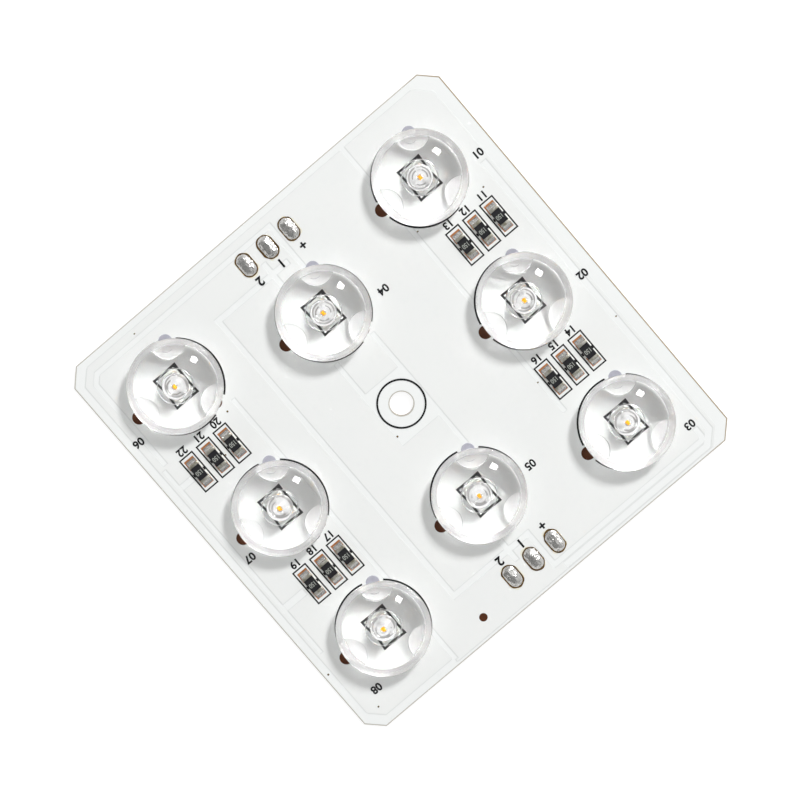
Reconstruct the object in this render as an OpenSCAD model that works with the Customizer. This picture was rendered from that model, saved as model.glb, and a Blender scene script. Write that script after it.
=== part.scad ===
// Square LED light board: a white-masked laminate board with chamfered corners and a centre hole,
// eight LEDs each under a clear flared lens on three broad feet, four banks of three chip resistors
// and two rows of three solder-coated terminals. Millimetres. The board lies flat with its back at
// z = 0, +Z points out of the component face, and the origin is the centre of the back.

/* [Board] */
// Side of the square board
board_side = 72; // [70:0.5:80]
// Thickness of the laminate
board_t = 1; // [0.8:0.1:1.6]
// Leg of the chamfer on each corner
corner_cut = 2.4; // [1:0.1:3]
// Diameter of the centre hole
hole_d = 3.6; // [3:0.1:4.5]
// Thickness of the white mask over copper
mask_t = 0.06; // [0.05:0.01:0.1]
// Laminate left bare round the board edge and the hole
mask_inset = 0.18; // [0.1:0.02:0.4]
// Depth of the mask where there is no copper below it
relief_depth = 0.03; // [0.02:0.005:0.03]

/* [LEDs] */
// Length of an LED package
led_l = 3.5; // [3:0.1:3.6]
// Width of an LED package
led_w = 2.8; // [2.4:0.1:2.9]
// Height of an LED package
led_h = 0.75; // [0.7:0.05:0.9]
// Wall of the package round its light window
led_wall = 0.35; // [0.25:0.05:0.5]
// Depth of the light window below the package top
led_recess = 0.05; // [0.04:0.01:0.1]

/* [Lenses] */
// Diameter of a lens at its rim
lens_d = 14.5; // [13.5:0.1:15]
// Diameter of the lens underside
base_d = 11.2; // [10.6:0.1:12]
// Height of the lens underside above the mask
lens_lift = 0.3; // [0.2:0.05:0.4]
// Height of the side wall that flares from the underside to the rim
wall_h = 2; // [1.6:0.1:2.5]
// Thickness of the rim
rim_t = 0.3; // [0.2:0.05:0.5]
// Rise of the dome above the rim
dome_rise = 2.4; // [2:0.1:2.8]
// Radius of the dome crest round the central dimple
crest_r = 1.6; // [1:0.1:2.2]
// Space between the corners of the LED and the wall of the pocket over it
pocket_gap = 0.26; // [0.15:0.01:0.4]
// Diameter of the mouth of the bell above the pocket
bell_d = 4.4; // [4:0.1:4.8]
// Height of the bell's tip above the underside
tip_h = 2.6; // [2.2:0.1:3]
// Radius of curvature at the bell's tip
tip_r = 0.59; // [0.4:0.01:0.8]
// Diameter of a lens foot at the board
foot_d = 4.8; // [4.4:0.1:5]
// Growth of a foot's radius from the board to the underside
foot_draft = 0.02; // [0:0.01:0.1]
// Radius on which the feet are centred, each cut off in line with the flared side
foot_ring_r = 6; // [5.9:0.05:6.2]
// Height of the adhesive drop beside one foot
drop_h = 0.1; // [0.05:0.01:0.15]

/* [Resistors] */
// Length of a chip resistor over its end caps
res_l = 3.2; // [3:0.1:3.4]
// Width of a chip resistor
res_w = 1.6; // [1.4:0.1:1.7]
// Height of a chip resistor
res_h = 0.55; // [0.45:0.05:0.65]
// Length of each tinned end cap
cap_l = 0.48; // [0.3:0.02:0.6]
// Pitch of the resistors in a bank
res_pitch = 3.32; // [3:0.02:3.5]
// Length over the two lands of a resistor
res_land_l = 4.95; // [4.6:0.05:5.2]
// Width of a resistor land
res_land_w = 1.75; // [1.7:0.05:2]

/* [Terminals] */
// Length of a terminal pad
term_l = 3.8; // [3:0.1:4.2]
// Width of a terminal pad
term_w = 2.4; // [1.8:0.1:2.8]
// Height of the solder dome on a terminal pad
term_h = 0.6; // [0.4:0.05:0.8]
// Pitch of the terminals in a row
term_pitch = 4.2; // [3.8:0.1:4.6]
// Distance of the terminal row from the board edge
term_inset = 5.1; // [4:0.1:5.5]

/* [Printed marks] */
// Thickness of the printed ink
ink_t = 0.02; // [0.015:0.005:0.04]
// Line width of the printed rings
ring_line = 0.28; // [0.2:0.02:0.35]
// Line width of the resistor boxes
box_line = 0.22; // [0.15:0.01:0.25]
// Outer length of a resistor box
box_l = 6.2; // [6:0.1:6.6]
// Outer width of a resistor box
box_w = 2.6; // [2.5:0.05:2.7]
// Outer diameter of the ring round the centre hole
hole_ring_d = 7.6; // [6.5:0.1:8]
// Space between an LED land and the rectangle printed round it
led_mark_gap = 0.24; // [0.2:0.01:0.4]
// Space between the side of an LED and the rectangle printed round it
led_mark_side = 0.22; // [0.15:0.01:0.3]
// Line width of the printed rectangle round an LED
led_mark_line = 0.3; // [0.2:0.02:0.5]
// Leg of the filled corner that marks the cathode
led_mark_corner = 0.3; // [0.2:0.02:0.6]

/* [Hidden] */
$fn = 96;

// Copper stands a little below the mask; joints leave a thin film of solder under each part.
land_recess = 0.02;
land_t = mask_t - land_recess;
film_t = 0.03;
z_mask = board_t + mask_t;
z_land = board_t + land_t;
z_seat = z_land + film_t;

// LED places, row by row from the upper left, in step with the board.
half_side = board_side / 2;
unit = board_side / 72;
led_pitch = board_side / 3;
led_mid_x = board_side / 4;
led_places = [
    [-led_pitch, led_pitch], [0, led_pitch], [led_pitch, led_pitch],
    [-led_mid_x, 0], [led_mid_x, 0],
    [-led_pitch, -led_pitch], [0, -led_pitch], [led_pitch, -led_pitch]
];
contact_t = 0.1;
contact_out = 0.12;
contact_gap = 0.9;
contact_inset = 0.2;
contact_w = led_w - 2 * contact_inset;
contact_l = led_l / 2 + contact_out - contact_gap / 2;
led_land_out = 0.12;
led_land_l = contact_l + led_land_out;
// The light window reaches down to this share of the moulding's height.
window_floor = 0.4;
led_mark_l = led_l + 2 * (contact_out + led_land_out + led_mark_gap + led_mark_line);
led_mark_w = led_w + 2 * (led_mark_side + led_mark_line);

// Lens radii and its levels above the underside.
lens_r = lens_d / 2;
base_r = base_d / 2;
z_lens = z_mask + lens_lift;
rim_z = wall_h + rim_t;
crest_z = rim_z + dome_rise;
flare = (lens_r - base_r) / wall_h;
dome_arc = (pow(lens_r - crest_r, 2) + pow(dome_rise, 2)) / (2 * dome_rise);
pocket_r = norm([led_l, led_w]) / 2 + pocket_gap;
roof_gap = 0.08;
pocket_h = z_seat + led_h - z_lens + roof_gap;
bell_h = tip_h - pocket_h;
foot_angles = [30, 150, 270];
foot_root = 0.2;
foot_inset = 0.05;
// Copper spots beside the feet, the last one under adhesive, and the ring that stops short of them.
spot_r = 1.06;
spot_angles = [270, 26.6, 153.25];
spot_reach = [lens_r + 0.15, lens_r - 0.95, lens_r - 0.36];
spot_places = [for (k = [0:2]) spot_reach[k] * [cos(spot_angles[k]), sin(spot_angles[k])]];
ring_gap = 0.02;
ring_r = lens_r + ring_gap;
ring_shift = [0.08, -0.09];
ring_gaps = [[270, 11.5], [27, 13], [153, 13]];
// Adhesive that stands over the edge of the mask round its spot.
drop_lip = 0.03;

// Banks as the middle of three resistors, and the small amount they sit off their lands.
bank_places = [
    [-led_pitch / 2, led_pitch + 2], [led_pitch / 2, led_pitch - 0.9],
    [led_pitch / 2, -led_pitch - 0.7], [-led_pitch / 2, -led_pitch - 2.6]
];
res_shift = [0.1, 0.05];
res_land_in = 0.3;
res_land_part = (res_land_l - res_l) / 2 + cap_l + res_land_in;
glaze_t = 0.02;
fillet_h = res_h * 0.7;
// Solder runs a little in under each cap and stops short of the land's sides and end.
solder_in = 0.2;
solder_inset = 0.05;
solder_end_gap = 0.1;

term_x = half_side - term_inset;
fiducial_d = 1.3;
fiducial_place = [half_side - 3.2, -11.6];

// Strips between the copper areas, as two corners each.
strips = [
    [[-half_side + 1, 17.6 * unit], [16.9 * unit, 18.4 * unit]],
    [[-11 * unit, 3.15], [11 * unit, 3.95]],
    [[-11 * unit, -4], [4.9, -3.2]],
    [[-4.8, -4], [4.9, 3.95]],
    [[-27.8 * unit, -13.4 * unit], [-26.9 * unit, 1]],
    [[-27.8 * unit, -13.4 * unit], [27.8 * unit, -12.4 * unit]],
    [[26.9 * unit, -13.4 * unit], [27.8 * unit, 2]],
    [[26.9 * unit, 1.4], [half_side - 3.2, 2.2]],
    [[-17 * unit, -19.3 * unit], [half_side - 1, -18.5 * unit]],
    [[-12.2 * unit, -half_side + 2.2], [-11.5 * unit, -31.5 * unit]],
    [[11.4 * unit, -half_side + 2.2], [12.5 * unit, -30.2 * unit]],
    [[-19 * unit, half_side - 2.7], [half_side - 3.4, half_side - 2.3]],
    [[-19 * unit, half_side - 4.1], [half_side - 3.4, half_side - 3.7]],
    [[half_side - 3.4, 2.2], [half_side - 3, half_side - 4.2]],
    [[half_side - 1.6, 2.2], [half_side - 1.2, half_side - 4.2]],
    [[-half_side + 2.6, -half_side + 5.2], [-half_side + 3.1, 2.4]],
    [[-half_side + 0.9, -half_side + 4.2], [-half_side + 1.3, half_side - 4.2]],
    [[-half_side + 5, -half_side + 3.8], [-15.5 * unit, -half_side + 4.2]],
    [[half_side - 2.4, -half_side + 4], [half_side - 1.9, -19.2 * unit]],
    [[-half_side + 4, -half_side + 1.8], [half_side - 4, -half_side + 2.2]]
];

mask_colour = [0.95, 0.955, 0.95];
core_colour = [0.5, 0.4, 0.25];
copper_colour = [0.42, 0.24, 0.1];
ink_colour = [0.03, 0.03, 0.035];
lens_colour = [0.93, 0.95, 0.97, 0.35];
adhesive_colour = [0.73, 0.73, 0.79];
solder_colour = [0.75, 0.76, 0.77];
led_colour = [0.93, 0.93, 0.9];
phosphor_colour = [0.98, 0.68, 0.1];
glaze_colour = [0.05, 0.05, 0.055];

// Outline of the board with its four corners cut, drawn in by the given margin.
module board_outline(margin) {
    h = half_side - margin;
    c = corner_cut - margin * (2 - sqrt(2));
    polygon([
        [-h + c, -h], [h - c, -h], [h, -h + c], [h, h - c],
        [h - c, h], [-h + c, h], [-h, h - c], [-h, -h + c]
    ]);
}

// Rectangle with rounded ends along its length.
module slot_shape(l, w) {
    square([l - w, w], center = true);
    for (s = [-1, 1]) {
        translate([s * (l - w) / 2, 0]) circle(d = w);
    }
}

// Every bare copper area, in plan: resistor, LED and terminal lands, lens spots and the fiducial.
module land_shapes() {
    for (p = bank_places) {
        for (k = [-1, 0, 1]) {
            for (s = [-1, 1]) {
                translate([p[0] + s * (res_land_l - res_land_part) / 2, p[1] + k * res_pitch])
                    square([res_land_part, res_land_w], center = true);
            }
        }
    }
    for (p = led_places) {
        for (s = [-1, 1]) {
            translate([p[0] + s * (contact_gap + led_land_l) / 2, p[1]])
                square([led_land_l, contact_w], center = true);
        }
        for (q = spot_places) {
            translate(p + q) circle(r = spot_r);
        }
    }
    for (s = [-1, 1]) {
        for (k = [-1, 0, 1]) {
            translate([s * term_x, k * term_pitch]) slot_shape(term_l, term_w);
        }
    }
    translate(fiducial_place) circle(d = fiducial_d);
}

// Laminate core with the centre hole.
module circuit_board() {
    color(core_colour) linear_extrude(board_t) difference() {
        board_outline(0);
        circle(d = hole_d);
    }
}

// White mask: open over the lands, lower where no copper lies below it.
module solder_mask() {
    color(mask_colour) translate([0, 0, board_t]) difference() {
        linear_extrude(mask_t) difference() {
            board_outline(mask_inset);
            circle(d = hole_d + 2 * mask_inset);
            land_shapes();
        }
        translate([0, 0, mask_t - relief_depth]) linear_extrude(mask_t) difference() {
            for (s = strips) {
                translate(s[0]) square(s[1] - s[0]);
            }
            legend_shapes();
        }
    }
}

module copper_lands() {
    color(copper_colour) translate([0, 0, board_t]) linear_extrude(land_t) land_shapes();
}

// Flat ring of the given middle radius and line width.
module ring_shape(r, line) {
    difference() {
        circle(r = r + line / 2);
        circle(r = r - line / 2);
    }
}

// Rectangular line of the given outer size.
module frame_shape(l, w, line) {
    difference() {
        square([l, w], center = true);
        square([l - 2 * line, w - 2 * line], center = true);
    }
}

// Wedge that opens from the centre, used to interrupt a ring.
module gap_shape(angle, half) {
    reach = ring_r * 1.2;
    polygon([
        [0, 0],
        [reach * cos(angle - half), reach * sin(angle - half)],
        [reach * cos(angle + half), reach * sin(angle + half)]
    ]);
}

// Printed lines in plan. The mask keeps its full height below them.
module legend_shapes() {
    for (p = led_places) {
        translate(p) {
            translate(ring_shift) difference() {
                ring_shape(ring_r, ring_line);
                for (g = ring_gaps) {
                    gap_shape(g[0], g[1]);
                }
            }
            frame_shape(led_mark_l, led_mark_w, led_mark_line);
            translate([led_mark_line - led_mark_l / 2, led_mark_w / 2 - led_mark_line])
                polygon([[0, 0], [led_mark_corner, 0], [0, -led_mark_corner]]);
        }
    }
    for (p = bank_places) {
        for (k = [-1, 0, 1]) {
            translate([p[0], p[1] + k * res_pitch]) frame_shape(box_l, box_w, box_line);
        }
    }
    ring_shape((hole_ring_d - ring_line) / 2, ring_line);
}

module legend_print() {
    color(ink_colour) translate([0, 0, z_mask]) linear_extrude(ink_t) legend_shapes();
}

// Two bent contacts below each LED.
module led_contacts() {
    color(solder_colour) for (p = led_places) {
        for (s = [-1, 1]) {
            translate([p[0] + s * (contact_gap + contact_l) / 2, p[1], z_seat + contact_t / 2])
                cube([contact_l, contact_w, contact_t], center = true);
        }
    }
}

// Solder below each contact and a small fillet at its end.
module led_solder() {
    color(solder_colour) for (p = led_places) {
        for (s = [-1, 1]) {
            translate([p[0] + s * (contact_gap + led_land_l) / 2, p[1], z_land + film_t / 2])
                cube([led_land_l, contact_w, film_t], center = true);
            translate([p[0] + s * (contact_gap / 2 + contact_l), p[1], z_seat])
                rotate([90, 0, s > 0 ? 0 : 180])
                    linear_extrude(contact_w, center = true)
                        polygon([[0, 0], [led_land_out, 0], [0, contact_t]]);
        }
    }
}

// White package with its light window.
module led_body(i) {
    h = led_h - contact_t;
    color(led_colour) translate(led_places[i - 1]) translate([0, 0, z_seat + contact_t]) difference() {
        translate([-led_l / 2, -led_w / 2, 0]) cube([led_l, led_w, h]);
        translate([-led_l / 2 + led_wall, -led_w / 2 + led_wall, h * window_floor])
            cube([led_l - 2 * led_wall, led_w - 2 * led_wall, h]);
    }
}

// Phosphor that fills the light window to just below the package top.
module led_phosphor(i) {
    h = led_h - contact_t;
    color(phosphor_colour) translate(led_places[i - 1])
        translate([-led_l / 2 + led_wall, -led_w / 2 + led_wall, z_seat + contact_t + h * window_floor])
            cube([led_l - 2 * led_wall, led_w - 2 * led_wall, h * (1 - window_floor) - led_recess]);
}

// Bell curve over the LED: round at the tip, flared to its mouth in the roof of the pocket.
bell_k = max(0.08, tip_r * bell_h / pow(bell_d / 2, 2));
bell_top = sqrt(1 + bell_k * bell_k);
function bell_z(u) = pocket_h + bell_h * (bell_top - sqrt(u * u + bell_k * bell_k)) / (bell_top - bell_k);
bell_steps = 16;

// Dome curve: an arc round the crest circle, which dips to the dimple on the axis.
function dome_z(r) = crest_z - dome_arc + sqrt(dome_arc * dome_arc - pow(r - crest_r, 2));
dome_steps = 24;

// Half section of a lens above its underside.
module lens_section() {
    polygon(concat(
        [for (k = [0:bell_steps]) [bell_d / 2 * k / bell_steps, bell_z(k / bell_steps)]],
        [[pocket_r, pocket_h], [pocket_r, 0], [base_r, 0], [lens_r, wall_h], [lens_r, rim_z]],
        [for (k = [dome_steps - 1:-1:0]) [lens_r * k / dome_steps, dome_z(lens_r * k / dome_steps)]]
    ));
}

// Broad foot that narrows towards the board and ends just inside the line of the flared side.
module lens_foot(angle) {
    foot_h = lens_lift + foot_root;
    top_d = foot_d + 2 * foot_draft * foot_h / lens_lift;
    translate([0, 0, z_mask]) intersection() {
        rotate([0, 0, angle]) translate([foot_ring_r, 0, 0]) cylinder(d1 = foot_d, d2 = top_d, h = foot_h);
        cylinder(
            r1 = base_r - foot_inset - flare * lens_lift, r2 = base_r - foot_inset + flare * foot_root,
            h = foot_h);
    }
}

// Clear lens with its three feet.
module lens(i) {
    color(lens_colour) translate(led_places[i - 1]) {
        translate([0, 0, z_lens]) rotate_extrude() lens_section();
        for (a = foot_angles) {
            lens_foot(a);
        }
    }
}

// Cured drop on the third copper spot of each lens, run in under the rim to the foot it holds.
module adhesive_drops() {
    reach = spot_reach[2] - base_r;
    drop_r = spot_r + drop_lip;
    color(adhesive_colour) for (p = led_places) {
        translate(p) rotate(spot_angles[2]) {
            translate([spot_reach[2], 0, z_land]) cylinder(r = spot_r, h = land_recess);
            translate([0, 0, z_mask]) linear_extrude(drop_h) difference() {
                translate([base_r + reach / 2, 0]) slot_shape(reach + 2 * drop_r, 2 * drop_r);
                circle(r = base_r);
            }
        }
    }
}

// Place of the resistor with the given number, bank by bank from the top.
function resistor_place(i) = let (b = floor((i - 1) / 3), k = (i - 1) % 3)
    bank_places[b] + [0, (1 - k) * res_pitch] + res_shift;

// Glazed body between the end caps.
module resistor(i) {
    color(glaze_colour) translate(resistor_place(i))
        translate([-res_l / 2 + cap_l, -res_w / 2, z_seat])
            cube([res_l - 2 * cap_l, res_w, res_h + glaze_t]);
}

// Tinned end caps of the three resistors in a bank.
module resistor_caps(b) {
    color(solder_colour) for (k = [1, 2, 3]) {
        for (s = [-1, 1]) {
            translate(resistor_place((b - 1) * 3 + k))
                translate([s * (res_l - cap_l) / 2, 0, z_seat + res_h / 2])
                    cube([cap_l, res_w, res_h], center = true);
        }
    }
}

// Solder below and outside each end cap.
module resistor_solder() {
    film_l = cap_l + solder_in;
    film_w = res_w - 2 * solder_inset;
    out = (res_land_l - res_l) / 2 - res_shift[0] - solder_end_gap;
    color(solder_colour) for (i = [1:12]) {
        for (s = [-1, 1]) {
            translate(resistor_place(i)) {
                translate([s * (res_l / 2 + (out - film_l) / 2), 0, z_land + film_t / 2])
                    cube([film_l + out, film_w, film_t], center = true);
                translate([s * res_l / 2, 0, z_seat]) rotate([90, 0, s > 0 ? 0 : 180])
                    linear_extrude(film_w, center = true)
                        polygon([[0, 0], [out, 0], [out * 0.35, fillet_h * 0.4], [0, fillet_h]]);
            }
        }
    }
}

// Solder dome with round ends that covers a terminal pad.
module terminal(i) {
    s = i > 3 ? 1 : -1;
    k = 1 - (i - 1) % 3;
    ball = (term_w * term_w / 4 + term_h * term_h) / (2 * term_h);
    color(solder_colour) translate([s * term_x, k * term_pitch, z_land]) intersection() {
        union() {
            for (e = [-1, 1]) {
                translate([e * (term_l - term_w) / 2, 0, term_h - ball]) sphere(r = ball);
            }
            translate([-(term_l - term_w) / 2, 0, term_h - ball])
                rotate([0, 90, 0]) cylinder(r = ball, h = term_l - term_w);
        }
        linear_extrude(term_h * 2) slot_shape(term_l, term_w);
    }
}

circuit_board();
solder_mask();
copper_lands();
legend_print();
led_contacts();
led_solder();
adhesive_drops();
for (i = [1:8]) {
    lens(i);
    led_body(i);
    led_phosphor(i);
}
for (i = [1:12]) {
    resistor(i);
}
for (b = [1:4]) {
    resistor_caps(b);
}
resistor_solder();
for (i = [1:6]) {
    terminal(i);
}
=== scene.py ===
"""Square LED light board: white-masked laminate with eight lensed LEDs, chip resistors and terminals."""

import math

import bmesh
import bpy
from mathutils import Matrix, Vector, noise


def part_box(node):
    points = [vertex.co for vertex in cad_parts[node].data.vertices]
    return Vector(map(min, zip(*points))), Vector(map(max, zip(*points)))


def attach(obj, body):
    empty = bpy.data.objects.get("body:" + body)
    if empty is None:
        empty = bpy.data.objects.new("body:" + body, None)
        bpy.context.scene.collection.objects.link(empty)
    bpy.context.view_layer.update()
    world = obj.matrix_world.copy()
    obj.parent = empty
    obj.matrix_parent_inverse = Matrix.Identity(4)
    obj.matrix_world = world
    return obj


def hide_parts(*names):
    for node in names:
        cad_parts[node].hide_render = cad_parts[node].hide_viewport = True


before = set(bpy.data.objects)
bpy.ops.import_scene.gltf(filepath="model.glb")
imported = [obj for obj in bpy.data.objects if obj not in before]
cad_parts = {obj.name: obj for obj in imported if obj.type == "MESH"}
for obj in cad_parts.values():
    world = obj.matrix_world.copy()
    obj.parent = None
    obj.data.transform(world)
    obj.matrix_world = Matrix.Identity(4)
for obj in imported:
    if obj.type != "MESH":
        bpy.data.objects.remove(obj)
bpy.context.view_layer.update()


# Laminate board
# The core is glass cloth pressed in epoxy, cut out on a router, so its edge is raw and tan.
# Its shape comes from the frame; the mask stops short of the edge and leaves a thin bare margin.

MM = 0.001


def linear(hex_colour):
    """An sRGB hex colour as the linear RGBA that shader sockets take."""
    channels = [int(hex_colour[i:i + 2], 16) / 255 for i in (1, 3, 5)]
    return [c / 12.92 if c < 0.04045 else ((c + 0.055) / 1.055) ** 2.4 for c in channels] + [1]


def add_node(tree, kind, inputs=None, **settings):
    """Adds a shader node: settings are its properties, inputs are values or sockets to link."""
    node = tree.nodes.new(kind)
    for name, value in settings.items():
        setattr(node, name, value)
    for socket, value in (inputs or {}).items():
        if isinstance(value, bpy.types.NodeSocket):
            tree.links.new(value, node.inputs[socket])
        else:
            node.inputs[socket].default_value = value
    return node


def new_finish(name, constants):
    """A material whose principled shader has these constants; returns it with its tree and shader."""
    material = bpy.data.materials.new(name)
    material.use_nodes = True
    shader = material.node_tree.nodes["Principled BSDF"]
    for socket, value in constants.items():
        shader.inputs[socket].default_value = value
    return material, material.node_tree, shader


def dress(node, material):
    """Gives a CAD node that stays in view its finish."""
    node.data.materials.clear()
    node.data.materials.append(material)


# Epoxy glass laminate, raw from the router: tan resin with the weave of the cloth showing through.
laminate, tree, shader = new_finish("epoxy_glass_laminate", {"Roughness": 0.6, "IOR": 1.52})
where = add_node(tree, "ShaderNodeTexCoord").outputs["Object"]
thread_pitch = 0.5 * MM
wave_period = 0.314
warp = add_node(tree, "ShaderNodeTexWave", {
    "Vector": where, "Scale": wave_period / thread_pitch, "Distortion": 0.6, "Detail": 1.0})
weft = add_node(tree, "ShaderNodeTexWave", {
    "Vector": where, "Scale": wave_period / thread_pitch, "Distortion": 0.6, "Detail": 1.0},
    bands_direction="Y")
weave = add_node(tree, "ShaderNodeMath", {0: warp.outputs["Fac"], 1: weft.outputs["Fac"]},
                 operation="MULTIPLY")
resin = add_node(tree, "ShaderNodeMixRGB", {
    "Fac": weave.outputs[0], "Color1": linear("#7d6240"), "Color2": linear("#a58a60")})
# On top the thin bare margin is pale grey, turning brown towards the +Y edge, which is the soft box's side.
lip_level, brown_start, brown_end = 0.95 * MM, 30 * MM, 36 * MM
place = add_node(tree, "ShaderNodeSeparateXYZ", {"Vector": where})
brown_side = add_node(tree, "ShaderNodeMapRange", {
    "Value": place.outputs["Y"], "From Min": brown_start, "From Max": brown_end})
lip_tone = add_node(tree, "ShaderNodeMixRGB", {
    "Fac": brown_side.outputs[0], "Color1": linear("#c0bdb4"), "Color2": linear("#a08e72")})
lip = add_node(tree, "ShaderNodeMath", {0: place.outputs["Z"], 1: lip_level}, operation="GREATER_THAN")
resin_and_lip = add_node(tree, "ShaderNodeMixRGB", {
    "Fac": lip.outputs[0], "Color1": resin.outputs[0], "Color2": lip_tone.outputs[0]})
tree.links.new(resin_and_lip.outputs[0], shader.inputs["Base Color"])
cloth_bump = add_node(tree, "ShaderNodeBump", {
    "Height": weave.outputs[0], "Strength": 0.25, "Distance": 0.02 * MM})
tree.links.new(cloth_bump.outputs[0], shader.inputs["Normal"])
dress(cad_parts["circuit_board"], laminate)


# White solder mask
# A white photo-imaged lacquer, thick enough to hide the copper but not its edges: it dips a little
# over the strips where the copper was etched away. It is open over every land.

mask_low, mask_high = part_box("solder_mask")
mask_half = mask_high.x / MM
mask_top = mask_high.z / MM
mask_bottom = mask_low.z / MM
mask_corner = 2.3
dip_depth = 0.03
dip_slope = 0.22


def etched_run(width, *points):
    """Copper-free strips along a line of points: start, direction, length and half width of each."""
    points = [Vector(p) for p in points]
    strips = []
    for k in range(len(points) - 1):
        start, end = points[k], points[k + 1]
        along = (end - start).normalized()
        before = after = 0.0
        if k > 0:
            before = width / 2 * math.tan(along.angle(start - points[k - 1]) / 2)
        if k + 2 < len(points):
            after = width / 2 * math.tan(along.angle(points[k + 2] - end) / 2)
        strips.append((start - along * before, along, (end - start).length + before + after, width / 2))
    return strips


# Bare margin along the board's edge, with its four cut corners.
etched = etched_run(1.2, (-35.4, -36), (-35.4, 36)) + etched_run(2.0, (-36, 34.9), (36, 34.9))
etched += etched_run(0.6, (35.75, -19), (35.75, 36)) + etched_run(1.4, (35.3, -36), (35.3, -19))
etched += etched_run(1.4, (-36, -35.3), (36, -35.3))
etched += etched_run(1.8, (-36.4, 31.3), (-32.0, 35.6)) + etched_run(1.8, (32.9, 35.3), (36.9, 31.4))
etched += etched_run(1.8, (-36.4, -32.1), (-32.3, -36.3)) + etched_run(1.8, (32.1, -36.3), (36.2, -32.2))
# Gaps beside the supply tracks that follow the edge.
etched += etched_run(1.1, (-19.8, 32.85), (33, 32.85), (34.8, 31.05), (34.8, 3))
etched += etched_run(0.9, (31.5, 31.3), (33.2, 31.3), (33.65, 30.85), (33.65, 1.8), (26.9, 1.8))
etched += etched_run(0.85, (-24, 2.2), (-33.1, 2.2), (-33.1, -31.9), (-31.9, -33.1), (-16, -33.1))
etched += etched_run(0.7, (-15.5, -33.85), (21, -33.85))
# Gaps between the copper areas of the LED strings, and the bare ground round the hole.
etched += etched_run(0.8, (-34.8, 18), (16.9, 18)) + etched_run(0.8, (-17, -18.9), (35, -18.9))
etched += etched_run(0.95, (-27.3, 1), (-27.3, -12.9), (27.4, -12.9), (27.4, 1.4))
etched += etched_run(0.8, (-11, 3.55), (11, 3.55)) + etched_run(0.8, (-11, -3.6), (4.9, -3.6))
etched += etched_run(7.95, (-4.6, 0), (5.0, 0))
etched += etched_run(1.0, (-11.8, -33.5), (-11.8, -30.8)) + etched_run(1.2, (12.2, -33.5), (12.2, -29.6))
etched += etched_run(0.9, (-29.5, -2.1), (-25, -2.1)) + etched_run(0.9, (25.5, -2.1), (29.5, -2.1))


def place_in_strip(strip, x, y):
    """A point as the distance along a strip from its start and the distance across it."""
    start, along = strip[:2]
    dx, dy = x - start.x, y - start.y
    return dx * along.x + dy * along.y, dy * along.x - dx * along.y


def dip_at(x, y):
    """How far the mask dips at this place, from 0 to 1."""
    deepest = 0.0
    for strip in etched:
        u, v = place_in_strip(strip, x, y)
        inside = min(u, strip[2] - u, strip[3] - abs(v))
        deepest = max(deepest, min(1.0, inside / dip_slope + 0.5))
    return deepest


def finish_piece(bm, name, *materials):
    """Turns a mesh drawn in millimetres into an object at the origin that rides on the board."""
    bmesh.ops.scale(bm, vec=(MM, MM, MM), verts=bm.verts)
    mesh = bpy.data.meshes.new(name)
    bm.to_mesh(mesh)
    bm.free()
    for material in materials:
        mesh.materials.append(material)
    piece = bpy.data.objects.new(name, mesh)
    bpy.context.scene.collection.objects.link(piece)
    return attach(piece, "root")


cut_tolerance = 1e-5


def cut_across(bm, point, normal, clear=False):
    """Cuts the whole mesh with a plane and, if asked, drops what lies on the normal's side."""
    bmesh.ops.bisect_plane(
        bm, geom=bm.verts[:] + bm.edges[:] + bm.faces[:], dist=cut_tolerance,
        plane_co=point, plane_no=normal, clear_outer=clear)


bm = bmesh.new()
bmesh.ops.create_grid(bm, x_segments=1, y_segments=1, size=mask_half)
for sx in (-1, 1):
    for sy in (-1, 1):
        reach = mask_half - mask_corner / 2
        cut_across(bm, (sx * reach, sy * reach, 0), (sx, sy, 0), clear=True)
for strip in etched:
    start, along, length, half_width = strip
    across = Vector((-along.y, along.x))
    near = []
    for face in bm.faces:
        places = [place_in_strip(strip, v.co.x, v.co.y) for v in face.verts]
        us, vs = zip(*places)
        if (min(us) < length + dip_slope and max(us) > -dip_slope
                and min(vs) < half_width + dip_slope and max(vs) > -half_width - dip_slope):
            near.append(face)
    geom = near + list({e for f in near for e in f.edges}) + list({v for f in near for v in f.verts})
    for edge in (-dip_slope / 2, dip_slope / 2):
        lines = [(start - along * edge, along), (start + along * (length + edge), along)]
        lines += [(start + across * side * (half_width + edge), across) for side in (-1, 1)]
        for point, normal in lines:
            geom = bmesh.ops.bisect_plane(
                bm, geom=geom, dist=cut_tolerance, plane_co=point.to_3d(), plane_no=normal.to_3d())["geom"]
rim = [e for e in bm.edges if e.is_boundary]
skirt = bmesh.ops.extrude_edge_only(bm, edges=rim)["geom"]
foot_verts = [v for v in skirt if isinstance(v, bmesh.types.BMVert)]
for v in bm.verts:
    v.co.z = mask_top - dip_depth * dip_at(v.co.x, v.co.y)
for v in foot_verts:
    v.co.z = mask_bottom
foot_edges = [e for e in bm.edges if e.is_boundary]
bmesh.ops.contextual_create(bm, geom=foot_edges)
bmesh.ops.recalc_face_normals(bm, faces=bm.faces)
white_mask = finish_piece(bm, "white_mask")

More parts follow.
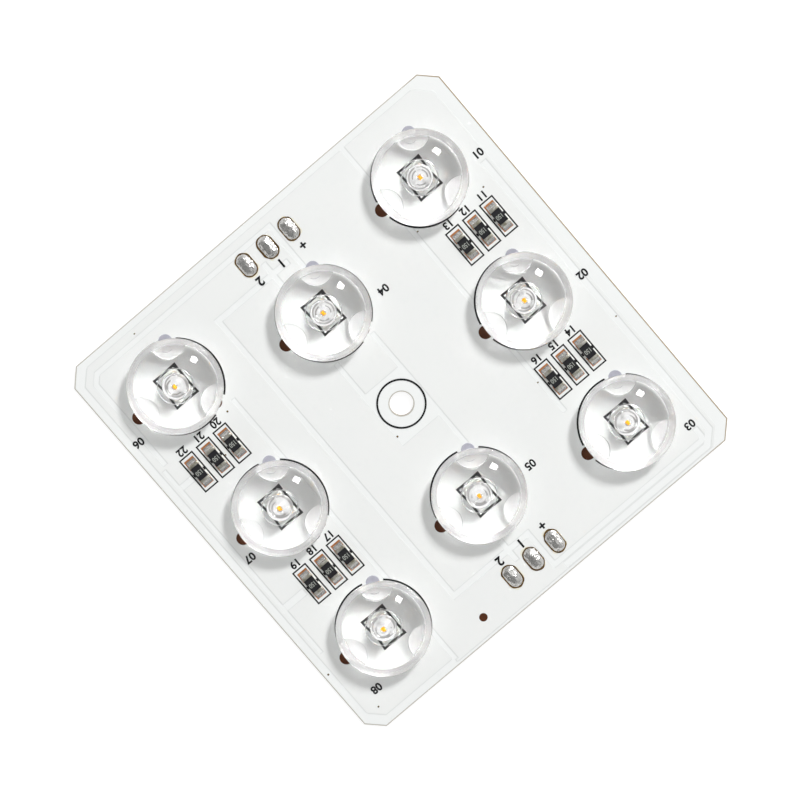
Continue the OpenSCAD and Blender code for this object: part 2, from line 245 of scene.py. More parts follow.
# The openings are the lands themselves, drawn out through the mask, and the hole with its margin.
opening_reach = 0.2 * MM
hole_margin_r, hole_cut_depth = 1.98 * MM, 1 * MM
weld_distance = 1e-7
cutter_bm = bmesh.new()
cutter_bm.from_mesh(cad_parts["copper_lands"].data)
bmesh.ops.remove_doubles(cutter_bm, verts=cutter_bm.verts, dist=weld_distance)
middle = sum(v.co.z for v in cutter_bm.verts) / len(cutter_bm.verts)
for v in cutter_bm.verts:
    v.co.z += opening_reach if v.co.z > middle else -opening_reach
bmesh.ops.create_cone(
    cutter_bm, cap_ends=True, segments=96, radius1=hole_margin_r, radius2=hole_margin_r,
    depth=hole_cut_depth, matrix=Matrix.Translation((0, 0, mask_high.z)))
cutter_mesh = bpy.data.meshes.new("openings")
cutter_bm.to_mesh(cutter_mesh)
cutter_bm.free()


def combine(first, second, operation):
    """The union, difference or intersection of two closed meshes, as a new mesh."""
    solids = [bpy.data.objects.new("solid", mesh) for mesh in (first, second)]
    for solid in solids:
        bpy.context.scene.collection.objects.link(solid)
    step = solids[0].modifiers.new("combine", "BOOLEAN")
    step.operation = operation
    step.solver = "EXACT"
    step.object = solids[1]
    bpy.context.view_layer.update()
    combined = bpy.data.meshes.new_from_object(
        solids[0].evaluated_get(bpy.context.evaluated_depsgraph_get()))
    for solid in solids:
        bpy.data.objects.remove(solid)
    return combined


white_mask.data = combine(white_mask.data, cutter_mesh, "DIFFERENCE")
dip = white_mask.data.attributes.new("dip", "FLOAT", "POINT")
for v, value in zip(white_mask.data.vertices, dip.data):
    value.value = dip_at(v.co.x / MM, v.co.y / MM)

# White solder mask, screened and cured: satin, slightly uneven, paler where no copper lies below.
mask_lacquer, tree, shader = new_finish("white_solder_mask", {
    "Roughness": 0.42, "IOR": 1.5, "Specular IOR Level": 0.4})
where = add_node(tree, "ShaderNodeTexCoord").outputs["Object"]
clouds_size = 9 * MM
clouds = add_node(tree, "ShaderNodeTexNoise", {
    "Vector": where, "Scale": 1 / clouds_size, "Detail": 3.0, "Roughness": 0.55})
over_copper = add_node(tree, "ShaderNodeMixRGB", {
    "Fac": clouds.outputs["Fac"], "Color1": linear("#eceeed"), "Color2": linear("#f0f1ef")})
dip_value = add_node(tree, "ShaderNodeAttribute", attribute_name="dip")
lacquer = add_node(tree, "ShaderNodeMixRGB", {
    "Fac": dip_value.outputs["Fac"], "Color1": over_copper.outputs[0], "Color2": linear("#f1f3f2")})
# On the shoulders of the copper the lacquer is painted a little darker, as painted shade along the edges of
# the relief.
level = add_node(tree, "ShaderNodeMath", {0: 1.0, 1: dip_value.outputs["Fac"]}, operation="SUBTRACT")
shoulder = add_node(tree, "ShaderNodeMath", {0: level.outputs[0], 1: dip_value.outputs["Fac"]},
                    operation="MULTIPLY")
edge_shade_share = add_node(tree, "ShaderNodeMath", {0: shoulder.outputs[0], 1: 3.0}, operation="MULTIPLY")
lacquer_with_edge_shade = add_node(tree, "ShaderNodeMixRGB", {
    "Fac": edge_shade_share.outputs[0], "Color1": lacquer.outputs[0], "Color2": linear("#dcdedd")})
tree.links.new(lacquer_with_edge_shade.outputs[0], shader.inputs["Base Color"])
orange_peel_size = 0.35 * MM
orange_peel = add_node(tree, "ShaderNodeTexNoise", {
    "Vector": where, "Scale": 1 / orange_peel_size, "Detail": 2.0})
peel_bump = add_node(tree, "ShaderNodeBump", {
    "Height": orange_peel.outputs["Fac"], "Strength": 0.12, "Distance": 0.02 * MM})
tree.links.new(peel_bump.outputs[0], shader.inputs["Normal"])
white_mask.data.materials.clear()
white_mask.data.materials.append(mask_lacquer)
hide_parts("solder_mask")


# Copper
# Etched copper foil, bare where the mask is open. The round spots beside the lenses have tarnished
# to dark brown; the lands that took solder were cleaned by the flux and are still orange.

lens_names = [f"lens_{i}" for i in range(1, 9)]


def box_of(node):
    """Lowest and highest corner of a CAD node in millimetres."""
    return [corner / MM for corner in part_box(node)]


def middle_of(node):
    """Middle of a CAD node in millimetres."""
    low, high = box_of(node)
    return (low + high) / 2


def size_of(node):
    """Size of a CAD node in millimetres."""
    low, high = box_of(node)
    return high - low


spot_size = 2.12
spot_margin = 0.05
lens_spots = [Vector((0, -7.4)), Vector((5.633, 2.821)), Vector((-6.15, 3.1))]
fiducial = Vector((32.8, -11.6))
spots = [middle_of(n).xy + s for n in lens_names for s in lens_spots] + [fiducial]


def copper_foil(keep_spots):
    """Copies the lands and keeps only the round spots, or all but those."""
    foil = bmesh.new()
    foil.from_mesh(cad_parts["copper_lands"].data)
    bmesh.ops.remove_doubles(foil, verts=foil.verts, dist=weld_distance)
    bmesh.ops.scale(foil, vec=(1 / MM, 1 / MM, 1 / MM), verts=foil.verts)
    unwanted = []
    for v in foil.verts:
        at_spot = any((v.co.xy - s).length < spot_size / 2 + spot_margin for s in spots)
        if at_spot != keep_spots:
            unwanted.append(v)
    bmesh.ops.delete(foil, geom=unwanted, context="VERTS")
    return foil


def mottled(name, patch_size, dark, light, constants, detail=2.0):
    """A finish that drifts between two colours in patches; returns it with its noise."""
    material, tree, shader = new_finish(name, constants)
    where = add_node(tree, "ShaderNodeTexCoord").outputs["Object"]
    patches = add_node(tree, "ShaderNodeTexNoise", {
        "Vector": where, "Scale": 1 / patch_size, "Detail": detail})
    tone = add_node(tree, "ShaderNodeMixRGB", {
        "Fac": patches.outputs["Fac"], "Color1": linear(dark), "Color2": linear(light)})
    tree.links.new(tone.outputs[0], shader.inputs["Base Color"])
    return material, patches


# Tarnished copper: dark brown with a dull sheen and cloudy patches.
tarnish_size = 0.7 * MM
tarnished, _ = mottled(
    "tarnished_copper", tarnish_size, "#3a1a06", "#5e300f",
    {"Metallic": 0.0, "Roughness": 0.45, "Specular IOR Level": 0.3}, detail=4.0)
copper_spots = finish_piece(copper_foil(True), "copper_spots", tarnished)
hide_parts("copper_lands")

# Fluxed copper: clean orange foil with a thin brown film of flux here and there.
fluxed, _ = mottled(
    "fluxed_copper", tarnish_size, "#b8703f", "#d99a6a", {"Metallic": 0.7, "Roughness": 0.4}, detail=4.0)
component_lands = finish_piece(copper_foil(False), "component_lands", fluxed)


# Printed marks
# Black epoxy ink, screened on the mask: rings round the lenses and the hole, rectangles round the
# LEDs, boxes round the resistors with a tick at mid length, and plain place numbers.

ink_thickness = size_of("legend_print").z
speckle_size = 0.25 * MM
ink, _ = mottled(
    "black_legend_ink", speckle_size, "#0c0c0e", "#1c1c20",
    {"Roughness": 0.55, "IOR": 1.5, "Specular IOR Level": 0.25}, detail=3.0)
dress(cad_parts["legend_print"], ink)

# Numbers lie with their tops towards +X, so they read towards -Y.
number_turn = -90
stroke_swell = 0.045


def add_text(bm, text, cap_height, place, thickness, swell=stroke_swell, narrow=1.0):
    """Adds a number as a flat solid, centred on a place, with its tops towards +X."""
    curve = bpy.data.curves.new("number", "FONT")
    curve.body = text
    curve.align_x = "CENTER"
    curve.align_y = "CENTER"
    cap_share = 0.7
    curve.size = cap_height / cap_share
    curve.extrude = thickness / 2
    curve.offset = swell * cap_height
    curve.resolution_u = 4
    drawn = bpy.data.objects.new("number", curve)
    bpy.context.scene.collection.objects.link(drawn)
    bpy.context.view_layer.update()
    mesh = bpy.data.meshes.new_from_object(drawn.evaluated_get(bpy.context.evaluated_depsgraph_get()))
    turn = Matrix.Rotation(math.radians(number_turn), 4, "Z")
    mesh.transform(Matrix.Translation(place) @ turn @ Matrix.Diagonal((narrow, 1, 1, 1)))
    bm.from_mesh(mesh)
    bpy.data.objects.remove(drawn)
    bpy.data.meshes.remove(mesh)


bm = bmesh.new()
number_z = mask_top + ink_thickness / 2
led_number_height = 1.2
led_number_places = [
    (-21.2, 33.0), (2.7, 33.3), (30.6, 31.0), (-14.9, 9.05),
    (19.6, 8.8), (-21.2, -34.0), (2.9, -32.6), (30.5, -31.0)]
for i, (x, y) in enumerate(led_number_places):
    add_text(bm, f"{i + 1:02d}", led_number_height, (x, y, number_z), ink_thickness)
resistor_names = [f"resistor_{i}" for i in range(1, 13)]
first_resistor_number = 11
resistor_number_height = 1.15
resistor_number_step = -4.1
for i, name in enumerate(resistor_names):
    at = middle_of(name)
    place = (at.x + resistor_number_step, at.y, number_z)
    add_text(bm, str(first_resistor_number + i), resistor_number_height, place, ink_thickness)
terminal_names = [f"terminal_{i}" for i in range(1, 7)]
terminal_marks = "+12"
terminal_number_height = 1.4
terminal_number_step = 3.1
for i, name in enumerate(terminal_names):
    at = middle_of(name)
    inward = -math.copysign(terminal_number_step, at.x)
    place = (at.x + inward, at.y, number_z)
    add_text(bm, terminal_marks[i % 3], terminal_number_height, place, ink_thickness)


def add_block(bm, middle, size):
    """Adds a box of this size round a place and returns its corners."""
    block = bmesh.ops.create_cube(bm, size=1)["verts"]
    bmesh.ops.scale(bm, vec=size, verts=block)
    bmesh.ops.translate(bm, vec=middle, verts=block)
    return block


tick_length = 0.34
tick_width = 0.5
box_half_width = 1.3
box_line = 0.22
tick_step = box_half_width - box_line - tick_length / 2
for name in resistor_names:
    at = middle_of(name)
    for side in (-1, 1):
        add_block(bm, (at.x, at.y + side * tick_step, number_z), (tick_width, tick_length, ink_thickness))
printed_numbers = finish_piece(bm, "printed_numbers", ink)


# LEDs
# A white moulded package on two tinned contacts, with a tapered window that is filled with clear
# silicone and orange-yellow phosphor. One corner is cut to mark the cathode.

# Tin plate: soft grey metal with a faint grain and a yellowish bloom of flux.
tin, tree, shader = new_finish("tin_plate", {"Metallic": 1.0})
where = add_node(tree, "ShaderNodeTexCoord").outputs["Object"]
bloom_size = 0.45 * MM
bloom = add_node(tree, "ShaderNodeTexNoise", {"Vector": where, "Scale": 1 / bloom_size, "Detail": 3.0})
bloom_share = add_node(tree, "ShaderNodeMapRange", {
    "Value": bloom.outputs["Fac"], "From Min": 0.35, "From Max": 0.65})
tin_tone = add_node(tree, "ShaderNodeMixRGB", {
    "Fac": bloom_share.outputs[0], "Color1": linear("#a19d8a"), "Color2": linear("#dcdad2")})
tree.links.new(tin_tone.outputs[0], shader.inputs["Base Color"])
tin_grain_size = 0.12 * MM
tin_grain = add_node(tree, "ShaderNodeTexNoise", {
    "Vector": where, "Scale": 1 / tin_grain_size, "Detail": 3.0})
tin_roughness = add_node(tree, "ShaderNodeMapRange", {
    "Value": tin_grain.outputs["Fac"], "To Min": 0.25, "To Max": 0.5})
tree.links.new(tin_roughness.outputs[0], shader.inputs["Roughness"])
tin_bump = add_node(tree, "ShaderNodeBump", {
    "Height": tin_grain.outputs["Fac"], "Strength": 0.3, "Distance": 0.02 * MM})
tree.links.new(tin_bump.outputs[0], shader.inputs["Normal"])

# Reflowed solder: bright, with the soft ripples that it froze with.
solder, tree, shader = new_finish("reflowed_solder", {
    "Base Color": linear("#cfcecb"), "Metallic": 1.0, "Roughness": 0.22})
where = add_node(tree, "ShaderNodeTexCoord").outputs["Object"]
ripple_size = 0.5 * MM
ripples = add_node(tree, "ShaderNodeTexNoise", {"Vector": where, "Scale": 1 / ripple_size, "Detail": 3.0})
ripple_bump = add_node(tree, "ShaderNodeBump", {
    "Height": ripples.outputs["Fac"], "Strength": 1.0, "Distance": 0.14 * MM})
tree.links.new(ripple_bump.outputs[0], shader.inputs["Normal"])

# Contacts of the LEDs and the solder under them: satin, whitened by the oven.
satin, _ = mottled(
    "satin_tin", bloom_size, "#dcdcd8", "#f2f2ef", {"Metallic": 0.25, "Roughness": 0.55}, detail=3.0)
dress(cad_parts["led_contacts"], satin)
dress(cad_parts["led_solder"], satin)

# White polyamide moulding: matt, with a fine moulded grain.
polyamide, tree, shader = new_finish("white_polyamide", {
    "Base Color": linear("#efeee9"), "Roughness": 0.45, "IOR": 1.53})
where = add_node(tree, "ShaderNodeTexCoord").outputs["Object"]
moulded_grain_size = 0.06 * MM
moulded_grain = add_node(tree, "ShaderNodeTexNoise", {"Vector": where, "Scale": 1 / moulded_grain_size})
moulded_bump = add_node(tree, "ShaderNodeBump", {
    "Height": moulded_grain.outputs["Fac"], "Strength": 0.1, "Distance": 0.01 * MM})
tree.links.new(moulded_bump.outputs[0], shader.inputs["Normal"])

# Phosphor in silicone: saturated orange-yellow, with fine grains of powder. A faint painted glow stands in
# for their fluorescence and lifts the dot out of the shade under the lens.
powder_size = 0.05 * MM
phosphor, _ = mottled("phosphor_silicone", powder_size, "#e89400", "#f8b800", {
    "Roughness": 0.5, "IOR": 1.41, "Specular IOR Level": 0.2, "Emission Color": linear("#f5ac00"),
    "Emission Strength": 0.5})

package_round = 0.05
window_wall = 0.3
window_taper = 0.88
cathode_cut = 0.45
# Rings of the filling's hollow top, from its edge inward: width and drop of each.
meniscus_rings = ((0.15, 0.03), (0.4, 0.015))
touch = 0.01
for i in range(1, 9):
    low, high = box_of(f"led_body_{i}")
    fill_low, fill_high = box_of(f"led_phosphor_{i}")
    window = (low + high) / 2
    bm = bmesh.new()
    add_block(bm, window, high - low)
    corner = [e for e in bm.edges if all(v.co.x < low.x + touch and v.co.y < low.y + touch for v in e.verts)]
    bmesh.ops.bevel(bm, geom=corner, offset=cathode_cut, affect="EDGES", segments=1, profile=0.5,
                    material=-1)
    top = max(bm.faces, key=lambda f: f.calc_center_median().z)
    bmesh.ops.inset_region(bm, faces=[top], thickness=window_wall, depth=0)
    bmesh.ops.translate(bm, vec=(0, 0, fill_low.z - high.z), verts=top.verts)
    narrowing = Matrix.Diagonal((window_taper, window_taper, 1, 1))
    taper = Matrix.Translation(window) @ narrowing @ Matrix.Translation(-window)
    bmesh.ops.transform(bm, matrix=taper, verts=top.verts)
    outer = [e for e in bm.edges if any(v.co.z > high.z - touch for v in e.verts)]
    bmesh.ops.bevel(bm, geom=outer, offset=package_round, affect="EDGES", segments=2, profile=0.5,
                    material=-1)
    package = finish_piece(bm, f"led_package_{i}", polyamide)
    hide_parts(f"led_body_{i}")

    bm = bmesh.new()
    add_block(bm, (fill_low + fill_high) / 2, fill_high - fill_low)
    top = max(bm.faces, key=lambda f: f.calc_center_median().z)
    for width, drop in meniscus_rings:
        bmesh.ops.inset_region(bm, faces=[top], thickness=width, depth=0)
        bmesh.ops.translate(bm, vec=(0, 0, -drop), verts=top.verts)
    fill = finish_piece(bm, f"phosphor_fill_{i}", phosphor)
    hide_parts(f"led_phosphor_{i}")


# Lenses
# Clear acrylic, injection moulded in a polished tool: a dome with a small dimple on top, a side that
# flares up to the rim, a bell-shaped hollow over the LED, and three broad feet glued to the board.

lens_low, lens_high = box_of("lens_1")
rim_r = (lens_high.x - lens_low.x) / 2
base_r = 5.6
underside = 0.3
wall_height = 2.0
rim_thickness = 0.3
crest_r = 1.6
lens_height = lens_high.z - lens_low.z
dome_rise = lens_height - underside - wall_height - rim_thickness
pocket_r = 2.5
pocket_height = 0.54
bell_r = 1.95
tip_height = 2.6
bell_sharpness = 0.38
ripple_depth, ripple_start, ring_count = 0.012, 0.3, 4
edge_round = 0.06
seam_distance = 1e-4
bell_steps, dome_steps, turn_steps = 48, 48, 192


def bell_height(u):
    """Height of the bell over the LED, from its tip at u = 0 to its mouth at u = 1.

    It is a hyperbola with faint rings, which the turned core of the mould has left on it.
    """
    k = bell_sharpness
    flat = math.sqrt(1 + k * k)
    ripple = ripple_depth * math.sin(ring_count * math.tau * u) * min(1.0, u / ripple_start)
    smooth = (tip_height - pocket_height) * (flat - math.sqrt(u * u + k * k)) / (flat - k)
    return pocket_height + smooth + ripple


def dome_height(r):
    """Height of the dome: an arc round the crest circle, with a smooth dimple inside it."""
    arc = ((rim_r - crest_r) ** 2 + dome_rise ** 2) / (2 * dome_rise)
    dimple = 0.146
    height = lens_height - underside - arc + math.sqrt(arc ** 2 - (max(r, crest_r) - crest_r) ** 2)
    if r < crest_r:
        height -= dimple * (0.5 + 0.5 * math.cos(math.pi * r / crest_r))
    return height


half_section = [(bell_r * k / bell_steps, bell_height(k / bell_steps)) for k in range(bell_steps + 1)]
half_section += [
    (pocket_r - edge_round, pocket_height), (pocket_r, pocket_height - edge_round),
    (pocket_r, edge_round), (pocket_r + edge_round, 0), (base_r, 0), (rim_r, wall_height),
    (rim_r, wall_height + rim_thickness)]
half_section += [
    (rim_r * k / dome_steps, dome_height(rim_r * k / dome_steps)) for k in range(dome_steps - 1, -1, -1)]
bm = bmesh.new()
line = [bm.verts.new((r, 0, z + underside)) for r, z in half_section]
section_edges = [bm.edges.new(pair) for pair in zip(line, line[1:])]
bmesh.ops.spin(
    bm, geom=line + section_edges, cent=(0, 0, 0), axis=(0, 0, 1), angle=math.tau, steps=turn_steps,
    use_merge=True)
bmesh.ops.remove_doubles(bm, verts=bm.verts, dist=seam_distance)
bmesh.ops.recalc_face_normals(bm, faces=bm.faces)
lens_mesh = bpy.data.meshes.new("lens")
bm.to_mesh(lens_mesh)
bm.free()

# The feet are round pads with a little draft, cut off along the line of the flared side. The glue
# wets their soles, so they sink a hair into the mask and show it without an air gap.
foot_angles = (30, 150, 270)
foot_ring_r = 6.0
foot_r = 2.4
foot_draft = 0.02
foot_root = 0.1
foot_sink = 0.004
flare = (rim_r - base_r) / wall_height
skirt_gap = 0.01


def cone_mesh(centres, bottom_r, top_r, low, high):
    """Upright cones between two heights above the mask."""
    bm = bmesh.new()
    for x, y in centres:
        bmesh.ops.create_cone(
            bm, cap_ends=True, segments=turn_steps, radius1=bottom_r, radius2=top_r, depth=high - low,
            matrix=Matrix.Translation((x, y, (low + high) / 2)))
    mesh = bpy.data.meshes.new("cone")
    bm.to_mesh(mesh)
    bm.free()
    return mesh


foot_centres = [
    (foot_ring_r * math.cos(math.radians(a)), foot_ring_r * math.sin(math.radians(a))) for a in foot_angles]
foot_top = underside + foot_root
pads = cone_mesh(foot_centres, foot_r, foot_r + foot_draft * foot_top / underside, -foot_sink, foot_top)
skirt = cone_mesh(
    [(0, 0)], base_r - skirt_gap - flare * underside, base_r - skirt_gap + flare * foot_root, -foot_sink,
    foot_top)
feet = combine(pads, skirt, "INTERSECT")
lens_mesh = combine(lens_mesh, feet, "UNION")
lens_bm = bmesh.new()
lens_bm.from_mesh(lens_mesh)
for face in lens_bm.faces:
    face.smooth = True
crease = math.radians(35)
for edge in lens_bm.edges:
    edge.smooth = edge.calc_face_angle(0) < crease

# Polished acrylic: water clear and smooth. The flared side came from an etched part of the tool.
acrylic, *_ = new_finish("polished_acrylic", {
    "Base Color": (1, 1, 1, 1), "Roughness": 0.0, "IOR": 1.49, "Transmission Weight": 1.0})
satin_acrylic, *_ = new_finish("satin_acrylic", {
    "Base Color": (1, 1, 1, 1), "Roughness": 0.28, "IOR": 1.49, "Transmission Weight": 1.0})
steepest_overhang, steepest_lean = -0.9, 0.1
for face in lens_bm.faces:
    outside = face.calc_center_median().xy.length > base_r - flare * underside - skirt_gap * 2
    flared = steepest_overhang < face.normal.z < steepest_lean
    face.material_index = 1 if outside and flared else 0
for name in lens_names:
    bm = lens_bm.copy()
    at = middle_of(name)
    bmesh.ops.translate(bm, vec=(at.x, at.y, lens_low.z), verts=bm.verts)
    clear_lens = finish_piece(bm, f"clear_{name}", acrylic, satin_acrylic)
    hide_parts(name)
lens_bm.free()

# Glue film: a smear of glue under each foot, which the clear foot shows. Its near white, brighter than the
# mask, is partly painted light: it stands in for the light that the glued feet carry down to the board.
glue_thickness = 0.012
glue_inset = 0.03
sole_r = base_r - skirt_gap - flare * underside - glue_inset
film_pads = cone_mesh(foot_centres, foot_r - glue_inset, foot_r - glue_inset, -foot_sink / 2, glue_thickness)
film_limit = cone_mesh([(0, 0)], sole_r, sole_r, -foot_sink, glue_thickness * 2)
film_mesh = combine(film_pads, film_limit, "INTERSECT")
# It has crept out over the inner part of the two copper spots that have no drop of their own.
tongue_reach = (6.75, 6.95)
tongue_gap = 0.02
land_level = box_of("copper_lands")[1].z - mask_top
tongues = []
tongue_r = spot_size / 2 - tongue_gap
for spot, reach in zip(lens_spots, tongue_reach):
    tongue = cone_mesh([spot], tongue_r, tongue_r, land_level, glue_thickness)
    limit = cone_mesh([(0, 0)], reach, reach, land_level - glue_thickness, glue_thickness * 2)
    tongues.append(combine(tongue, limit, "INTERSECT"))
smear_size = 0.8 * MM
# Glue painted brighter than the mask, as painted light under the feet.
glue_with_painted_light, _ = mottled(
    "glue_with_painted_light", smear_size, "#f8f8f7", "#fdfdfc", {"Roughness": 0.5, "IOR": 1.48})
bm = bmesh.new()
for name in lens_names:
    at = middle_of(name)
    for mesh in [film_mesh] + tongues:
        smear = mesh.copy()
        smear.transform(Matrix.Translation((at.x, at.y, lens_low.z)))
        bm.from_mesh(smear)
        bpy.data.meshes.remove(smear)
foot_glue = finish_piece(bm, "foot_glue", glue_with_painted_light)


# Adhesive drops
# One drop of milky adhesive holds each lens at its third copper spot. It was dispensed wet and
# has a low rounded crown, which ends in a flat face under the flare of the lens.

drops_low, drops_high = box_of("adhesive_drops")
drop_r = spot_size / 2
haze_size = 0.7 * MM
adhesive, _ = mottled(
    "milky_adhesive", haze_size, "#b4b4c2", "#cfcfda",
    {"Roughness": 0.25, "IOR": 1.48, "Transmission Weight": 0.25})
bm = bmesh.new()
crown_round = 0.09
drop_gap = 0.6
for name in lens_names:
    at = middle_of(name).xy
    centre = at + lens_spots[2]
    outward = lens_spots[2].normalized()
    run_in = lens_spots[2].length - base_r
    drop = bmesh.ops.create_cone(
        bm, cap_ends=True, segments=48, radius1=drop_r, radius2=drop_r, depth=drops_high.z - drops_low.z,
        matrix=Matrix.Translation((centre.x, centre.y, (drops_low.z + drops_high.z) / 2)))["verts"]
    for v in drop:
        if (v.co.xy - centre).dot(outward) < 0:
            v.co.xy -= outward * run_in
            v.co.z = max(v.co.z, mask_top)
    crown = [e for e in {e for v in drop for e in v.link_edges}
             if all(v.co.z > drops_high.z - touch for v in e.verts)]
    bmesh.ops.bevel(bm, geom=crown, offset=crown_round, affect="EDGES", segments=4, profile=0.5, material=-1)
    own = [f for f in bm.faces if (f.calc_center_median().xy - centre).length < 2 * drop_r]
    geom = own + list({e for f in own for e in f.edges}) + list({v for f in own for v in f.verts})
    stop = at + outward * (base_r + drop_gap)
    cut = bmesh.ops.bisect_plane(
        bm, geom=geom, dist=cut_tolerance, plane_co=(stop.x, stop.y, 0), plane_no=(-outward.x, -outward.y, 0),
        clear_outer=True)["geom_cut"]
    bmesh.ops.contextual_create(bm, geom=[e for e in cut if isinstance(e, bmesh.types.BMEdge)])
bmesh.ops.recalc_face_normals(bm, faces=bm.faces)
lens_adhesive = finish_piece(bm, "lens_adhesive", adhesive)
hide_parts("adhesive_drops")


# Chip resistors
# A block of white alumina with a black glass glaze over its film, tinned caps wrapped round both
# ends and a pale value code, soldered to two lands by a fillet at each end.

# Alumina: chalk white, matt, with a fine sintered grain.
sinter_size = 0.08 * MM
alumina, _ = mottled("alumina", sinter_size, "#d9d6cd", "#ece9e1", {"Roughness": 0.7, "IOR": 1.6})

# Black glass glaze: a soft gloss with a gently wavy surface.
waves_size = 0.3 * MM
glaze, waves = mottled(
    "black_glass_glaze", waves_size, "#1a1a1c", "#2a2a2d",
    {"Roughness": 0.3, "IOR": 1.52, "Specular IOR Level": 0.3})
glaze_bump = add_node(glaze.node_tree, "ShaderNodeBump", {
    "Height": waves.outputs["Fac"], "Strength": 0.2, "Distance": 0.03 * MM})
glaze.node_tree.links.new(
    glaze_bump.outputs[0], glaze.node_tree.nodes["Principled BSDF"].inputs["Normal"])

glaze_round = 0.06
glaze_depth = 0.09
for name in resistor_names:
    low, high = box_of(name)
    bm = bmesh.new()
    add_block(bm, (low + high) / 2, high - low)
    glaze_level = high.z - glaze_depth
    cut_across(bm, (0, 0, glaze_level), (0, 0, 1))
    top_rim = [e for e in bm.edges if all(v.co.z > high.z - touch for v in e.verts)]
    bmesh.ops.bevel(bm, geom=top_rim, offset=glaze_round, affect="EDGES", segments=3, profile=0.5,
                    material=-1)
    for face in bm.faces:
        face.material_index = 1 if face.calc_center_median().z > glaze_level else 0
    chip = finish_piece(bm, f"chip_{name}", alumina, glaze)
    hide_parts(name)

# Value codes, screened in pale ink on the glaze.
code_ink, _ = mottled(
    "white_code_ink", speckle_size, "#9a9e97", "#b9bdb5", {"Roughness": 0.6, "IOR": 1.5})
bm = bmesh.new()
value_code = "150"
code_height = 0.72
code_swell, code_narrow = 0.01, 0.78
code_thickness = 0.008
for name in resistor_names:
    at = middle_of(name)
    code_z = at.z + size_of(name).z / 2 + code_thickness / 2
    place = (at.x, at.y, code_z)
    add_text(bm, value_code, code_height, place, code_thickness, code_swell, code_narrow)
resistor_codes = finish_piece(bm, "resistor_codes", code_ink)

# End caps: one rounded cap for each end of the three resistors in a bank.
cap_length = 0.48
cap_round = 0.09
for bank in range(4):
    bm = bmesh.new()
    caps_low, caps_high = box_of(f"resistor_caps_{bank + 1}")
    for name in resistor_names[bank * 3:bank * 3 + 3]:
        low, high = box_of(name)
        for x0, x1 in ((caps_low.x, caps_low.x + cap_length), (caps_high.x - cap_length, caps_high.x)):
            cap = add_block(
                bm, ((x0 + x1) / 2, (low.y + high.y) / 2, (caps_low.z + caps_high.z) / 2),
                (x1 - x0, high.y - low.y, caps_high.z - caps_low.z))
            edges = list({e for v in cap for e in v.link_edges})
            bmesh.ops.bevel(bm, geom=edges, offset=cap_round, affect="EDGES", segments=3, profile=0.5,
                            material=-1)
    for face in bm.faces:
        face.smooth = True
    end_caps = finish_piece(bm, f"end_caps_{bank + 1}", tin)
    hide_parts(f"resistor_caps_{bank + 1}")

# Solder fillets: hollow ramps from the land up the end of each cap.
fillet_reach = 0.675
fillet_height = 0.385
fillet_width = 1.5
hollow_power, hollow_steps = 1.6, 6
film_length = 0.68
film_thickness = 0.03
solder_low = box_of("resistor_solder")[0].z
bm = bmesh.new()
for bank in range(4):
    caps_low, caps_high = box_of(f"resistor_caps_{bank + 1}")
    for name in resistor_names[bank * 3:bank * 3 + 3]:
        y = middle_of(name).y
        for x_end, out in ((caps_low.x, -1), (caps_high.x, 1)):
            ramp = [(-film_length, 0), (fillet_reach, 0)]
            for k in range(hollow_steps + 1):
                t = k / hollow_steps
                ramp.append((
                    fillet_reach * (1 - t) ** hollow_power,
                    film_thickness + fillet_height * t ** hollow_power))
            ramp.append((-film_length, film_thickness))
            side = [bm.verts.new((x_end + out * u, y - fillet_width / 2, solder_low + w)) for u, w in ramp]
            cheek = bm.faces.new(side)
            swept = bmesh.ops.extrude_face_region(bm, geom=[cheek])["geom"]
            bmesh.ops.translate(bm, vec=(0, fillet_width, 0),
                                verts=[g for g in swept if isinstance(g, bmesh.types.BMVert)])
bmesh.ops.recalc_face_normals(bm, faces=bm.faces)
resistor_fillets = finish_piece(bm, "resistor_fillets", solder)
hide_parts("resistor_solder")


# Terminals
# Long pads for the supply wires, tinned by hand with plenty of solder, which stands on them in a
# rounded heap. A dark rim of flux has run out and set round each, with a pale halo beyond it.

crown_power = 2.0
end_share = 0.35
lump_scale, lump_depth = 0.9, 0.22
dent_scale, dent_depth = 2.5, 0.1
edge_share, edge_wander = 0.985, 0.02
next_heap = 7.3
for i, name in enumerate(terminal_names):
    at = middle_of(name)
    size = size_of(name)
    straight = (size.x - size.y) / 2
    bm = bmesh.new()
    bmesh.ops.create_uvsphere(bm, u_segments=64, v_segments=32, radius=1)
    cut_across(bm, (0, 0, 0), (0, 0, -1), clear=True)
    for v in bm.verts:
        v.co.z = max(v.co.z, 0) ** crown_power
    bmesh.ops.scale(bm, vec=(size.y / 2, size.y / 2, size.z), verts=bm.verts)
    for v in bm.verts:
        v.co.x += max(-1.0, min(1.0, v.co.x / end_share)) * straight
        lump = noise.noise(Vector((v.co.x * lump_scale, v.co.y * lump_scale, i * next_heap)))
        dent = noise.noise(v.co * dent_scale + Vector((i, 0, 0))) + 1
        v.co.z *= 1 - lump_depth * abs(lump) - dent_depth * dent
        v.co.xy *= edge_share + edge_wander * lump
    bottom = [e for e in bm.edges if e.is_boundary]
    bmesh.ops.contextual_create(bm, geom=bottom)
    bmesh.ops.recalc_face_normals(bm, faces=bm.faces)
    bmesh.ops.translate(bm, vec=(at.x, at.y, at.z - size.z / 2), verts=bm.verts)
    for face in bm.faces:
        face.smooth = True
    heap = finish_piece(bm, f"solder_heap_{i + 1}", solder)
    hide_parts(name)

# Rosin flux: dark amber glass in the rim, and a dull pale bloom in the halo.
streak_size = 0.6 * MM
rosin, _ = mottled(
    "rosin_flux", streak_size, "#2e1a05", "#9a7026",
    {"Roughness": 0.15, "IOR": 1.54, "Transmission Weight": 0.6}, detail=3.0)
halo_bloom, _ = mottled(
    "pale_flux_bloom", streak_size, "#ece8cf", "#f0efe6", {"Roughness": 0.5, "IOR": 1.54}, detail=3.0)
